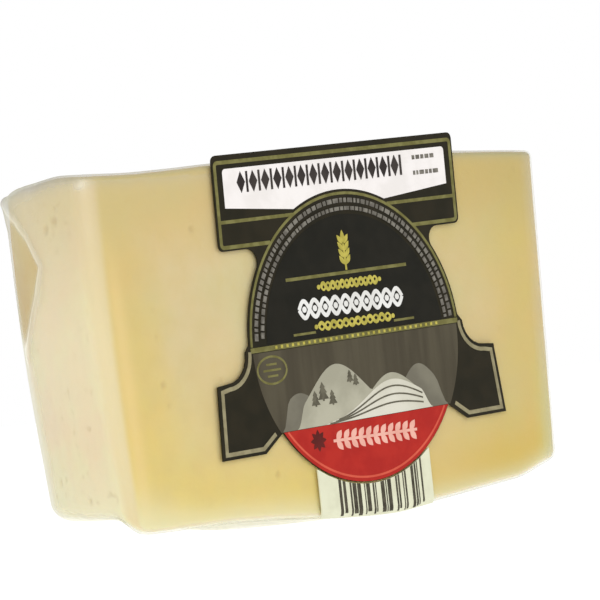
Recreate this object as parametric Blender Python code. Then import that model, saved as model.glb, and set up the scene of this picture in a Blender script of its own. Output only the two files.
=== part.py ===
"""Half a wheel of sheep's milk cheese in tight clear film, with a shaped label on its cut face.

Lengths are in metres. The half wheel stands on its base with the wheel's axis upright: +Z is up,
the cut face looks along -Y, +X runs to the right along the cut. The origin is under the middle of
the piece, on the surface that it rests on. The shapes are worked out in the wheel's own frame,
which has the axis at x = y = 0 in the cut plane, and each object is then moved by AXIS_X and CUT_Y.
"""

import math

import bmesh
import bpy

MM = 0.001

# The wrapped half wheel
TOP_RADIUS = 66.0 * MM
BASE_RADIUS = 62.6 * MM
SIDE_BULGE = 1.2 * MM
RIGHT_SWELL_TOP = 0.8 * MM
RIGHT_SWELL_BASE = 2.35 * MM
RIM_HEIGHT = 74.9 * MM
TOP_CROWN = 1.3 * MM
TOP_ROUNDING = 1.5 * MM
SIDE_ROUNDING = 4.0 * MM
LIP_ROUNDING = 1.6 * MM
LEFT_EDGE_ROUNDING_BASE = 3.4 * MM
LEFT_EDGE_ROUNDING_TOP = 4.8 * MM
RIGHT_EDGE_ROUNDING = 1.4 * MM
LEAST_ROUNDING = 0.6 * MM
LEAST_REACH = 30.0 * MM

# Soft dips in the top along the cut and below the ear, and a rise at the left end of the rim,
# as (x, y, reach along x, reach along y, drop)
TOP_SPOTS = [
    (-48.0 * MM, 0.0, 20.0 * MM, 12.0 * MM, 0.65 * MM),
    (-50.0 * MM, 44.0 * MM, 14.0 * MM, 14.0 * MM, 0.9 * MM),
    (-65.0 * MM, 9.0 * MM, 7.0 * MM, 7.0 * MM, -0.55 * MM),
]

# The domed base: a round flat spot that it rests on, from which it rises to the rim
REST_X = 4.0 * MM
REST_Y = 28.0 * MM
REST_RADIUS = 12.0 * MM
DOME_HEIGHT = 6.2 * MM
DOME_REACH = 34.0 * MM

# The lower lip of the cut face, where the soft paste hangs below the domed base
LIP_LOW_LEFT_X = 11.0 * MM
LIP_LOW_RIGHT_X = 13.0 * MM
LIP_RISE_LEFT = 2.5 * MM
LIP_RISE_WIDTH = 50.0 * MM
LIP_SLOPE_RIGHT = 0.09
LIP_CORNER_X = 50.0 * MM
LIP_CORNER_WIDTH = 14.0 * MM
LIP_CORNER_RISE = 2.3 * MM
LIP_LEFT_CORNER_X = -56.0 * MM
LIP_LEFT_CORNER_WIDTH = 8.0 * MM
LIP_LEFT_CORNER_RISE = 1.0 * MM
LIP_REACH_AT_LEFT_END = 4.5 * MM
LIP_REACH = 9.0 * MM
LIP_END_X = -62.0 * MM
LIP_END_WIDTH = 40.0 * MM

# The ear of folded film on the top rim
EAR_ANGLE = math.radians(135.0)
EAR_SPREAD = math.radians(7.0)
EAR_REACH = 1.0 * MM
EAR_DROP = 8.0 * MM

# The label, in its own frame: from the middle of its round part, a to the right and b up
LABEL_X = 5.0 * MM
LABEL_Z = 37.3 * MM
LABEL_TURN = math.radians(2.1)
LABEL_THICKNESS = 0.3 * MM
LABEL_GAP = 0.3 * MM
BAR_HALF_WIDTH = 35.8 * MM
BAR_TOP = 41.0 * MM
BAR_BOTTOM = 21.4 * MM
BAR_CORNER = 1.3 * MM
BAR_LEAN = 0.056
BAR_LEAN_FROM = 25.5 * MM
NECK_RADIUS = 2.7 * MM
NECK_A = 28.4 * MM
NECK_TO = math.radians(189.0)
ARCH_RADIUS = 31.3 * MM
ARCH_FROM = math.radians(34.0)
ARCH_TO = math.radians(3.6)
SHOULDER_RADIUS = 5.7 * MM
SHOULDER_A = 38.2 * MM
SHOULDER_B = 0.5 * MM
WING_TOP_A = 41.4 * MM
WING_TOP_B = -5.5 * MM
WING_LOW_A = 42.6 * MM
WING_LOW_B = -20.5 * MM
WING_INNER_A = 30.4 * MM
ROUNDEL_RADIUS = 30.0 * MM
ROUNDEL_FROM = math.radians(-34.0)

# The barcode sticker, which comes out from under the label and turns round the lower edge
STICKER_X = 6.2 * MM
STICKER_WIDTH = 33.6 * MM
STICKER_LABEL_GAP = 0.4 * MM
STICKER_END = math.radians(45.0)

# The place of the wheel's axis, which puts the origin in the middle of the box round the whole
AXIS_X = -0.4 * MM
PIECE_DEPTH = TOP_RADIUS + LABEL_GAP + LABEL_THICKNESS
CUT_Y = -(PIECE_DEPTH / 2 - LABEL_GAP - LABEL_THICKNESS)

# Mesh counts
FACE_STEPS = 20
EDGE_STEPS = 4
ARC_STEPS = 52
ROUNDING_STEPS = 4
SIDE_STEPS = 11
CAP_RINGS = 6
TOP_MIDDLE_Y = 28.0 * MM
TOP_SPOT_RADIUS = 12.0 * MM
STICKER_COLUMNS = 12
STICKER_FACE_ROWS = 3
STICKER_EDGE_ROWS = 2


def clear_scene():
    for thing in list(bpy.data.objects):
        bpy.data.objects.remove(thing, do_unlink=True)


def plain_material(name, colour, roughness, metallic=0.0):
    material = bpy.data.materials.new(name)
    material.use_nodes = True
    shader = material.node_tree.nodes["Principled BSDF"]
    shader.inputs["Base Color"].default_value = (*colour, 1.0)
    shader.inputs["Roughness"].default_value = roughness
    shader.inputs["Metallic"].default_value = metallic
    return material


def add_object(name, mesh, material, sharp_angle):
    thing = bpy.data.objects.new(name, mesh)
    bpy.context.collection.objects.link(thing)
    mesh.materials.append(material)
    mesh.shade_smooth()
    mesh.set_sharp_from_angle(angle=sharp_angle)
    return thing


def mesh_from(name, points, faces):
    mesh = bpy.data.meshes.new(name)
    mesh.from_pydata(points, [], faces)
    mesh.validate()
    mesh.update()
    return mesh


def arc(centre_a, centre_b, radius, start, end, steps):
    """Points on an arc, both ends among them."""
    angles = [start + (end - start) * k / steps for k in range(steps + 1)]
    return [(centre_a + radius * math.cos(t), centre_b + radius * math.sin(t)) for t in angles]


def smooth_step(share):
    """An even rise from 0 to 1 as share goes from 0 to 1, level at both ends."""
    held = min(1.0, max(0.0, share))
    return held * held * (3.0 - 2.0 * held)


def lip_level(x):
    """Height of the cut face's lower lip, which is lowest near the middle."""
    left = LIP_RISE_LEFT * smooth_step((LIP_LOW_LEFT_X - x) / LIP_RISE_WIDTH)
    right = LIP_SLOPE_RIGHT * max(0.0, x - LIP_LOW_RIGHT_X)
    corners = LIP_CORNER_RISE * smooth_step((x - LIP_CORNER_X) / LIP_CORNER_WIDTH)
    corners += LIP_LEFT_CORNER_RISE * smooth_step((LIP_LEFT_CORNER_X - x) / LIP_LEFT_CORNER_WIDTH)
    return left + right + corners


def base_level(x, y):
    """Height of the underside: flat where it rests, domed up to the rim, low again at the cut."""
    out = math.hypot(x - REST_X, y - REST_Y) - REST_RADIUS
    dome = DOME_HEIGHT * smooth_step(out / DOME_REACH)
    inland = smooth_step((x - LIP_END_X) / LIP_END_WIDTH)
    reach = LIP_REACH_AT_LEFT_END + (LIP_REACH - LIP_REACH_AT_LEFT_END) * inland
    near_cut = math.exp(-((y / reach) ** 2))
    return dome + (lip_level(x) - dome) * near_cut if out > 0.0 else 0.0


def top_level(x, y):
    """Height of the top, slightly crowned towards the wheel's axis, with soft dips and a rise."""
    share = min(1.0, math.hypot(x, y) / TOP_RADIUS)
    sag = 0.0
    for spot_x, spot_y, reach_x, reach_y, drop in TOP_SPOTS:
        sag += drop * math.exp(-(((x - spot_x) / reach_x) ** 2) - ((y - spot_y) / reach_y) ** 2)
    return RIM_HEIGHT + TOP_CROWN * (1.0 - share**2) - sag


def side_radius(level):
    """Radius of the wheel's side from the base, level 0, to the top, level 1."""
    return BASE_RADIUS + (TOP_RADIUS - BASE_RADIUS) * level


def half_disc(radius, side_inset, face_inset, level):
    """The half wheel's outline, anticlockwise from the cut face's left end, moved in by two insets.

    Each point also has its share of the cut face: 1 on the face, 0 on the round side.
    """
    outer = radius - side_inset
    left = LEFT_EDGE_ROUNDING_BASE + (LEFT_EDGE_ROUNDING_TOP - LEFT_EDGE_ROUNDING_BASE) * level
    left = max(LEAST_ROUNDING, left - side_inset)
    right = max(LEAST_ROUNDING, RIGHT_EDGE_ROUNDING - side_inset)
    left_x = -math.sqrt((outer - left) ** 2 - (face_inset + left) ** 2)
    right_x = math.sqrt((outer - right) ** 2 - (face_inset + right) ** 2)
    right_turn = math.atan2(face_inset + right, right_x)
    left_turn = math.atan2(face_inset + left, left_x)
    face = [(left_x + (right_x - left_x) * k / FACE_STEPS, face_inset) for k in range(FACE_STEPS)]
    right_edge = arc(right_x, face_inset + right, right, -math.pi / 2, right_turn, EDGE_STEPS)[:-1]
    side = arc(0.0, 0.0, outer, right_turn, left_turn, ARC_STEPS)[:-1]
    left_edge = arc(left_x, face_inset + left, left, left_turn, 1.5 * math.pi, EDGE_STEPS)[:-1]
    points = [(x, y, 1.0) for x, y in face]
    points += [(x, y, 1.0 - k / EDGE_STEPS) for k, (x, y) in enumerate(right_edge)]
    points += [(x, y, 0.0) for x, y in side]
    points += [(x, y, k / EDGE_STEPS) for k, (x, y) in enumerate(left_edge)]
    return points


def ear(x, y, z):
    """How far the folded film stands out of the side at this point."""
    turn = abs(math.atan2(y, x) - EAR_ANGLE) / EAR_SPREAD
    drop = (RIM_HEIGHT - z) / EAR_DROP
    return EAR_REACH * max(0.0, 1.0 - turn) * max(0.0, 1.0 - abs(drop))


def bulge(x, y, z):
    """How far the side swells out: halfway up on the left, and from top to base on the right."""
    out = math.hypot(x, y) / TOP_RADIUS
    leftness = 0.5 * (1.0 - x / TOP_RADIUS)
    height = max(0.0, math.sin(math.pi * z / RIM_HEIGHT))
    right_swell = RIGHT_SWELL_BASE + (RIGHT_SWELL_TOP - RIGHT_SWELL_BASE) * z / RIM_HEIGHT
    return (SIDE_BULGE * leftness * height + right_swell * smooth_step(x / TOP_RADIUS)) * out**4


def swollen(x, y, z):
    """The point, moved out from the wheel's axis by the bulge and the ear."""
    out = 1.0 + (ear(x, y, z) + bulge(x, y, z)) / max(math.hypot(x, y), LEAST_REACH)
    return (x * out, y * out, z)


def cap_rings(outline, middle_x, middle_y, spot_radius, height_at):
    """Rings from a round spot in the middle of a cap out to just short of its outline."""
    spot = []
    for x, y, _ in outline:
        turn = math.atan2(y - middle_y, x - middle_x)
        spot.append((middle_x + spot_radius * math.cos(turn), middle_y + spot_radius * math.sin(turn)))
    rings = [[((middle_x + u) / 2, (middle_y + v) / 2) for u, v in spot]]
    for k in range(CAP_RINGS):
        share = k / CAP_RINGS
        pairs = zip(outline, spot)
        rings.append([(u + (x - u) * share, v + (y - v) * share) for (x, y, _), (u, v) in pairs])
    return [[(x, y, height_at(x, y)) for x, y in ring] for ring in rings]


def base_rounding(face_share):
    """Radius of the lower edge, smaller along the cut face than round the side."""
    return SIDE_ROUNDING + (LIP_ROUNDING - SIDE_ROUNDING) * face_share


def base_edge(turn):
    """One ring of the rounded lower edge, from the underside at turn 0 to the side at a right angle."""
    inward = 1.0 - math.sin(turn)
    outline = half_disc(BASE_RADIUS, SIDE_ROUNDING * inward, LIP_ROUNDING * inward, 0.0)
    upward = 1.0 - math.cos(turn)
    return [(x, y, base_level(x, y) + base_rounding(face) * upward) for x, y, face in outline]


def side_ring(level):
    """One ring of the side, from its foot at level 0 to its top at level 1."""
    ring = []
    for x, y, face in half_disc(side_radius(level), 0.0, 0.0, level):
        bottom = base_level(x, y) + base_rounding(face)
        top = top_level(x, y) - TOP_ROUNDING
        ring.append((x, y, bottom + (top - bottom) * level))
    return ring


def top_edge(turn):
    """One ring of the rounded upper edge, from the side at turn 0 to the top at a right angle."""
    inset = TOP_ROUNDING * (1.0 - math.cos(turn))
    drop = TOP_ROUNDING * (1.0 - math.sin(turn))
    return [(x, y, top_level(x, y) - drop) for x, y, _ in half_disc(TOP_RADIUS, inset, inset, 1.0)]


def wheel_rings():
    """Rings of points from the middle of the underside, up the side, to the middle of the top."""
    low = half_disc(BASE_RADIUS, SIDE_ROUNDING, LIP_ROUNDING, 0.0)
    high = half_disc(TOP_RADIUS, TOP_ROUNDING, TOP_ROUNDING, 1.0)
    rings = cap_rings(low, REST_X, REST_Y, REST_RADIUS, base_level)
    rings += [base_edge(math.pi / 2 * k / ROUNDING_STEPS) for k in range(ROUNDING_STEPS)]
    rings += [side_ring(k / SIDE_STEPS) for k in range(SIDE_STEPS + 1)]
    rings += [top_edge(math.pi / 2 * k / ROUNDING_STEPS) for k in range(1, ROUNDING_STEPS + 1)]
    rings += reversed(cap_rings(high, 0.0, TOP_MIDDLE_Y, TOP_SPOT_RADIUS, top_level))
    return [[swollen(*point) for point in ring] for ring in rings]


def wrapped_cheese():
    rings = wheel_rings()
    count = len(rings[0])
    points = [point for ring in rings for point in ring]
    faces = []
    for k in range(len(rings) - 1):
        for i in range(count):
            j = (i + 1) % count
            faces.append((k * count + i, k * count + j, (k + 1) * count + j, (k + 1) * count + i))
    bottom = len(points)
    top = bottom + 1
    last = (len(rings) - 1) * count
    points.append((REST_X, REST_Y, base_level(REST_X, REST_Y)))
    points.append((0.0, TOP_MIDDLE_Y, top_level(0.0, TOP_MIDDLE_Y)))
    for i in range(count):
        j = (i + 1) % count
        faces.append((bottom, j, i))
        faces.append((top, last + i, last + j))
    material = plain_material("film_over_cheese", (0.76, 0.62, 0.31), 0.3)
    mesh = mesh_from("wrapped_cheese", points, faces)
    thing = add_object("wrapped_cheese", mesh, material, math.radians(35))
    thing.location = (AXIS_X, CUT_Y, 0.0)


def label_half(sign):
    """Half of the label's outline, from the bar's top down to the roundel's foot; sign 1 is the right."""
    corner_a = BAR_HALF_WIDTH - BAR_CORNER
    corners = arc(corner_a, BAR_TOP - BAR_CORNER, BAR_CORNER, math.pi / 2, 0.0, 4)
    corners += arc(corner_a, BAR_BOTTOM + BAR_CORNER, BAR_CORNER, 0.0, -math.pi / 2, 4)
    bar = [(sign * a + BAR_LEAN * (b - BAR_LEAN_FROM), b) for a, b in corners]
    neck = arc(NECK_A, BAR_BOTTOM - NECK_RADIUS, NECK_RADIUS, math.pi / 2, NECK_TO, 6)
    arch = arc(0.0, 0.0, ARCH_RADIUS, ARCH_FROM, ARCH_TO, 8)
    shoulder = arc(SHOULDER_A, SHOULDER_B, SHOULDER_RADIUS, math.pi, 1.5 * math.pi, 6)
    wing = [(WING_TOP_A, WING_TOP_B), (WING_LOW_A, WING_LOW_B), (WING_INNER_A, WING_LOW_B)]
    roundel = arc(0.0, 0.0, ROUNDEL_RADIUS, ROUNDEL_FROM, -math.pi / 2, 14)
    return bar + [(sign * a, b) for a, b in neck + arch + shoulder + wing + roundel]


def front_label():
    outline = label_half(1) + label_half(-1)[-2::-1]
    form = bmesh.new()
    face = form.faces.new([form.verts.new((a, 0.0, b)) for a, b in outline])
    moved = bmesh.ops.extrude_face_region(form, geom=[face])["geom"]
    sheet = [item for item in moved if isinstance(item, bmesh.types.BMVert)]
    bmesh.ops.translate(form, verts=sheet, vec=(0.0, -LABEL_THICKNESS, 0.0))
    bmesh.ops.recalc_face_normals(form, faces=form.faces)
    mesh = bpy.data.meshes.new("front_label")
    form.to_mesh(mesh)
    form.free()
    material = plain_material("label_paper", (0.022, 0.02, 0.017), 0.4)
    thing = add_object("front_label", mesh, material, math.radians(30))
    thing.location = (AXIS_X + LABEL_X, CUT_Y - LABEL_GAP, LABEL_Z)
    thing.rotation_euler = (0.0, -LABEL_TURN, 0.0)


def sticker_top(x):
    """Where the sticker comes out from under the round foot of the label."""
    reach = ROUNDEL_RADIUS + STICKER_LABEL_GAP
    return LABEL_Z - math.sqrt(reach**2 - (x - LABEL_X) ** 2)


def sticker_column(x, out):
    """One column of the sticker from its top edge down and round the lower edge, out from the film."""
    start = base_level(x, 0.0) + LIP_ROUNDING
    high = sticker_top(x)
    column = []
    for k in range(STICKER_FACE_ROWS):
        column.append((x, -out, high + (start - high) * k / STICKER_FACE_ROWS))
    for k in range(STICKER_EDGE_ROWS + 1):
        turn = math.pi / 2 + (STICKER_END - math.pi / 2) * k / STICKER_EDGE_ROWS
        y = LIP_ROUNDING * (1 - math.sin(turn))
        z = base_level(x, y) + LIP_ROUNDING * (1 - math.cos(turn))
        column.append((x, y - out * math.sin(turn), z - out * math.cos(turn)))
    return column


def barcode_sticker():
    left = STICKER_X - STICKER_WIDTH / 2
    across = [left + STICKER_WIDTH * k / STICKER_COLUMNS for k in range(STICKER_COLUMNS + 1)]
    inner = [sticker_column(x, LABEL_GAP) for x in across]
    outer = [sticker_column(x, LABEL_GAP + LABEL_THICKNESS) for x in across]
    rows = len(inner[0])
    points = [point for column in inner + outer for point in column]
    behind = len(across) * rows
    faces = []
    for i in range(len(across) - 1):
        for k in range(rows - 1):
            a, b = i * rows + k, (i + 1) * rows + k
            faces.append((a, b, b + 1, a + 1))
            faces.append((behind + a, behind + a + 1, behind + b + 1, behind + b))
        for end in (0, rows - 1):
            a, b = i * rows + end, (i + 1) * rows + end
            faces.append((a, behind + a, behind + b, b))
    for k in range(rows - 1):
        for a in (k, (len(across) - 1) * rows + k):
            faces.append((a, a + 1, behind + a + 1, behind + a))
    mesh = mesh_from("barcode_sticker", points, faces)
    form = bmesh.new()
    form.from_mesh(mesh)
    bmesh.ops.recalc_face_normals(form, faces=form.faces)
    form.to_mesh(mesh)
    form.free()
    material = plain_material("sticker_paper", (0.78, 0.79, 0.66), 0.45)
    thing = add_object("barcode_sticker", mesh, material, math.radians(40))
    thing.location = (AXIS_X, CUT_Y, 0.0)


def main():
    clear_scene()
    wrapped_cheese()
    front_label()
    barcode_sticker()


main()
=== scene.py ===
"""Looks for half a wheel of sheep's milk cheese in clear film, with a shaped label and a sticker.

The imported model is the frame: metres, +Z up, the cut face looks along -Y. The wheel's surface is
worked out again from the same sizes as in the model, finer, once for the cheese and once for the
film round it. The label's print is made of thin fields that lie on the label's sheet.
"""
import random
from dataclasses import dataclass
from functools import cache
from math import asin, atan2, cos, exp, hypot, pi, radians, sin, sqrt

import bmesh
import bpy
import numpy as np
from mathutils import Matrix, Vector, noise


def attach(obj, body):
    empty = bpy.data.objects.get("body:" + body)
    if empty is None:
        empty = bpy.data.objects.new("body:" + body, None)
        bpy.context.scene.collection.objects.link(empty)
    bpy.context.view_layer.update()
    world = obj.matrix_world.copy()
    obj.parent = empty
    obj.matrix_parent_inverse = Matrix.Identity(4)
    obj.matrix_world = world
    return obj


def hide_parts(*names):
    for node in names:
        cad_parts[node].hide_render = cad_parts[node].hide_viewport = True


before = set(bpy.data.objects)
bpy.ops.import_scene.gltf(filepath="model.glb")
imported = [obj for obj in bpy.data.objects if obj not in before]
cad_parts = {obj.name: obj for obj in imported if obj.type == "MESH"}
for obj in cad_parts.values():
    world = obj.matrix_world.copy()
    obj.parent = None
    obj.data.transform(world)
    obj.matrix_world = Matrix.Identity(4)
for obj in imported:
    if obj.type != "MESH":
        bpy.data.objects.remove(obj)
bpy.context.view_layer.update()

MM = 0.001
WHITE = (1.0, 1.0, 1.0, 1.0)

# The camera, at the photograph's viewing angle
CAMERA_PLACE = (-0.5576, -0.5899, 0.0321)
CAMERA_AIM = (0.0029, -0.0193, 0.0467)
CAMERA_ROLL = radians(-6.13)
CAMERA_LENS = 227.0
CAMERA_SENSOR = 36.0

# The wrapped half wheel, as in the model
TOP_RADIUS = 66.0 * MM
BASE_RADIUS = 62.6 * MM
SIDE_BULGE = 1.2 * MM
RIGHT_SWELL_TOP = 0.8 * MM
RIGHT_SWELL_BASE = 2.35 * MM
RIM_HEIGHT = 74.9 * MM
TOP_CROWN = 1.3 * MM
TOP_ROUNDING = 1.5 * MM
SIDE_ROUNDING = 4.0 * MM
LIP_ROUNDING = 1.6 * MM
LEFT_EDGE_ROUNDING_BASE = 3.4 * MM
LEFT_EDGE_ROUNDING_TOP = 4.8 * MM
RIGHT_EDGE_ROUNDING = 1.4 * MM
LEAST_ROUNDING = 0.6 * MM
LEAST_REACH = 30.0 * MM
TOP_SPOTS = [
    (-48.0 * MM, 0.0, 20.0 * MM, 12.0 * MM, 0.65 * MM),
    (-50.0 * MM, 44.0 * MM, 14.0 * MM, 14.0 * MM, 0.9 * MM),
    (-65.0 * MM, 9.0 * MM, 7.0 * MM, 7.0 * MM, -0.55 * MM),
]
REST_X = 4.0 * MM
REST_Y = 28.0 * MM
REST_RADIUS = 12.0 * MM
DOME_HEIGHT = 6.2 * MM
DOME_REACH = 34.0 * MM
LIP_LOW_LEFT_X = 11.0 * MM
LIP_LOW_RIGHT_X = 13.0 * MM
LIP_RISE_LEFT = 2.5 * MM
LIP_RISE_WIDTH = 50.0 * MM
LIP_SLOPE_RIGHT = 0.09
LIP_CORNER_X = 50.0 * MM
LIP_CORNER_WIDTH = 14.0 * MM
LIP_CORNER_RISE = 2.3 * MM
LIP_LEFT_CORNER_X = -56.0 * MM
LIP_LEFT_CORNER_WIDTH = 8.0 * MM
LIP_LEFT_CORNER_RISE = 1.0 * MM
LIP_REACH_AT_LEFT_END = 4.5 * MM
LIP_REACH = 9.0 * MM
LIP_END_X = -62.0 * MM
LIP_END_WIDTH = 40.0 * MM
EAR_ANGLE = radians(135.0)
EAR_SPREAD = radians(7.0)
EAR_REACH = 1.0 * MM
EAR_DROP = 8.0 * MM
TOP_MIDDLE_Y = 28.0 * MM
TOP_SPOT_RADIUS = 12.0 * MM

# The label and the sticker, as in the model
LABEL_X = 5.0 * MM
LABEL_Z = 37.3 * MM
LABEL_TURN = radians(2.1)
LABEL_THICKNESS = 0.3 * MM
LABEL_GAP = 0.3 * MM
BAR_HALF_WIDTH = 35.8 * MM
BAR_TOP = 41.0 * MM
BAR_BOTTOM = 21.4 * MM
BAR_LEAN = 0.056
BAR_LEAN_FROM = 25.5 * MM
RING_RADIUS = 31.3 * MM
ROUNDEL_RADIUS = 30.0 * MM
SHOULDER_RADIUS = 5.7 * MM
SHOULDER_A = 38.2 * MM
SHOULDER_B = 0.5 * MM
STICKER_X = 6.2 * MM
STICKER_WIDTH = 33.6 * MM
STICKER_LABEL_GAP = 0.4 * MM

# The place of the wheel's axis, as in the model
AXIS_X = -0.4 * MM
PIECE_DEPTH = TOP_RADIUS + LABEL_GAP + LABEL_THICKNESS
CUT_Y = -(PIECE_DEPTH / 2 - LABEL_GAP - LABEL_THICKNESS)

# The cheese inside its film
FILM_GAP = 0.3 * MM
SIDE_GAP = 0.12 * MM
EAR_HOLLOW = 0.6 * MM

# The fold in the film from the ear down the side, and the soft back edge of the panel behind it,
# as (degrees round the wheel, height)
FOLD = [(138.2, 73.0 * MM), (153.2, 68.2 * MM), (159.2, 64.3 * MM), (164.0, 58.2 * MM),
        (160.4, 52.0 * MM), (154.4, 46.0 * MM), (148.0, 41.0 * MM)]
FOLD_BACK = [(138.2, 73.0 * MM), (129.0, 64.0 * MM), (128.0, 54.0 * MM),
             (136.0, 46.0 * MM), (148.0, 41.0 * MM)]
FOLD_BEND = 58.2 * MM
FOLD_HEIGHT = 0.3 * MM
FOLD_HALF_WIDTH = 1.1 * MM
FOLD_LOW_HALF_WIDTH = 1.7 * MM
FOLD_PANEL_SINK = 0.12 * MM
FOLD_PANEL_FRONT = 1.2 * MM
FOLD_PANEL_BACK = 12.0 * MM

# The grey, doubled film along the left part of the top rim
LEFT_RIM_ANGLE = radians(160.0)
LEFT_RIM_SPREAD = radians(22.0)
LEFT_RIM_WIDTH = 2.6 * MM

# Widths of the film's other milky bands: along the right edge, at the foot where it gathers and as a painted
# reflection of the white floor, and on the underside as painted light; and the small painted glint at the
# top of the rounded left edge
RIGHT_BAND_WIDTH = 2.4 * MM
FOOT_SHEEN_WIDTH = 2.2 * MM
UNDERSIDE_LIGHT_WIDTH = 0.8 * MM
GLINT_ANGLE = radians(178.0)
GLINT_HEIGHT = 72.5 * MM
GLINT_WIDTH = 0.8 * MM

# Pleats that run out from the ear's tip, as (degrees from straight down, length, strength)
PLEATS = [
    (-62.0, 22.0 * MM, 0.7),
    (-34.0, 14.0 * MM, 0.6),
    (-8.0, 11.0 * MM, 0.8),
    (14.0, 9.0 * MM, 0.5),
    (62.0, 13.0 * MM, 0.6),
    (164.0, 12.0 * MM, 0.7),
    (182.0, 16.0 * MM, 0.9),
    (203.0, 10.0 * MM, 0.6),
]
PLEAT_HEIGHT = 0.22 * MM
PLEAT_HALF_WIDTH = 0.45 * MM

# The small eyes in the cut and the pits in the rind, and the large ones, as (x, z) and (degrees, z) in mm
EYES, SIDE_PITS, TOP_PITS = 46, 110, 60
LARGE_EYES = ((-37.8, 62.5), (-49.9, 31.9), (-21.0, 11.3))
LARGE_PITS = ((170.2, 66.6), (167.0, 65.2))

# Thickness of one layer of print, and the step between shapes of one colour that lie over each other
INK = 0.03 * MM
OVERLAP_STEP = 0.002 * MM

# The print's colours: two close tones as 0 to 255 values, and maybe the grain's fineness and stretch
INKS = {
    "black": ((30, 27, 12), (38, 33, 18)),
    "field_black": ((21, 20, 11), (27, 25, 16)),
    "old_gold": ((122, 118, 70), (104, 100, 54), 500.0),
    "bright_gold": ((192, 180, 84), (166, 156, 68), 500.0),
    "white": ((238, 233, 230), (230, 225, 221)),
    "braid_white": ((230, 230, 226), (218, 217, 212)),
    "dark_print": ((46, 40, 38), (60, 54, 50)),
    "grey_print": ((126, 122, 112), (98, 94, 86), 700.0),
    "brown_grey": ((82, 76, 60), (69, 63, 49), 260.0, (1.0, 1.0, 0.08)),
    "far_hills": ((124, 120, 104), (110, 106, 92), 120.0),
    "middle_hills": ((178, 175, 155), (160, 157, 138), 120.0),
    "near_hills": ((214, 211, 196), (202, 199, 182), 120.0),
    "pale_gold": ((152, 144, 112), (134, 126, 96), 500.0),
    "wood_tone": ((104, 100, 84), (84, 80, 66), 500.0),
    "red": ((178, 40, 30), (168, 34, 27)),
    "light_red": ((212, 92, 70), (202, 82, 62)),
    "dark_red": ((84, 26, 22), (98, 30, 26)),
    "pink": ((234, 180, 164), (226, 166, 150)),
}

# The print's hills in mm, as (name, left, right, crests), with crests as (place, height, reach);
# the firs, as (a, b, height); and the terraces, as shares of the near hill's height
PICTURE_FLOOR = -16.8
HILLS = (
    ("far", -25.0, 24.8, ((-19.0, 7.4, 7.5), (17.0, 9.6, 7.5))),
    ("middle", -20.8, 18.0, ((-7.5, 12.2, 11.0), (8.5, 8.6, 9.5))),
    ("near", -13.0, 20.0, ((8.6, 7.2, 11.5),)),
)
FIRS = (
    (-14.6, -12.4, 3.0), (-12.2, -11.4, 3.6), (-9.6, -12.6, 2.9), (-3.8, -8.6, 2.4), (-2.2, -9.4, 2.2),
)
TERRACES = (0.8, 0.56, 0.32)

# The softbox in front of the cut face
SOFTBOX_PLACE = (-0.95, -0.95, 0.5)
SOFTBOX_AIM = (0.0, 0.0, 0.04)
SOFTBOX_SIZE = 1.3
SOFTBOX_POWER = 6.95


def srgb(red, green, blue):
    """A colour given as the 0 to 255 values of a picture, as linear values."""
    shares = [value / 255 for value in (red, green, blue)]
    return [((s + 0.055) / 1.055) ** 2.4 if s > 0.04045 else s / 12.92 for s in shares]


def smooth_step(share):
    held = min(1.0, max(0.0, share))
    return held * held * (3.0 - 2.0 * held)


# Node helpers

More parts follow.
